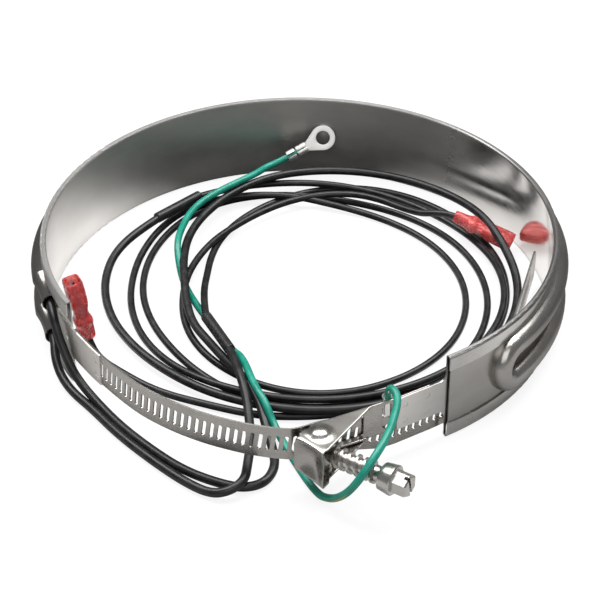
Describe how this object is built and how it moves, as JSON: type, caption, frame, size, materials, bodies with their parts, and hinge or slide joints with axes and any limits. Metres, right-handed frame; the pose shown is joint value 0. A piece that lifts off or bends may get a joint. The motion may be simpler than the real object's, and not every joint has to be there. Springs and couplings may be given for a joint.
{
  "type": "band heater",
  "caption": "Strap-on band heater: a steel ring with a ridged cover over a heating cable, closed by a slotted strap and a swinging worm screw, with its leads coiled inside.",
  "frame": {"origin": "centre of the ring, on the surface that the band's lower edge stands on", "axes": "+Z along the ring's axis, -Y towards the clamp, +X to the right seen from the clamp"},
  "size_m": [0.22, 0.2536, 0.0381],
  "materials": {
    "band_steel": "bright rolled sheet",
    "cover_steel": "pressed sheet",
    "strap_steel": "satin stainless",
    "screw_steel": "plated",
    "cable_sheath": "matt",
    "lead_black": "satin",
    "wire_green": "satin",
    "terminal_metal": "tinned",
    "boot_pink": "soft clear"
  },
  "bodies": {
    "heater": {"inner_band": "band_steel", "outer_cover": "cover_steel", "heating_cable": "cable_sheath", "lead_joint_upper": "terminal_metal", "lead_joint_lower": "terminal_metal", "anchor_strap": "strap_steel", "perforated_strap": "strap_steel", "clamp_housing": "strap_steel", "ground_lug": "terminal_metal", "ground_wire": "wire_green", "ground_wire_end": "wire_green", "ring_terminal": "terminal_metal", "lead_upper": "lead_black", "lead_lower": "lead_black", "lead_coil": "lead_black", "lead_end_left": "lead_black", "splice_sleeve_upper": "lead_black", "splice_sleeve_lower": "lead_black", "terminal_cover_left": "boot_pink", "terminal_cover_right": "boot_pink", "terminal_receptacle_left": "terminal_metal", "terminal_receptacle_right": "terminal_metal"},
    "swivel": {"swivel_block": "screw_steel"},
    "screw": {"worm_screw": "screw_steel"}
  },
  "joints": [
    {"name": "screw_swing", "type": "hinge", "parent": "heater", "child": "swivel", "pos_m": [0.00732, -0.11967, 0.01905], "axis": [0, 0, 1], "range_deg": [0, 57]},
    {"name": "screw_turn", "type": "hinge", "parent": "swivel", "child": "screw", "pos_m": [0.00732, -0.11967, 0.01905], "axis": [0.8387, -0.5446, 0], "continuous": true}
  ]
}
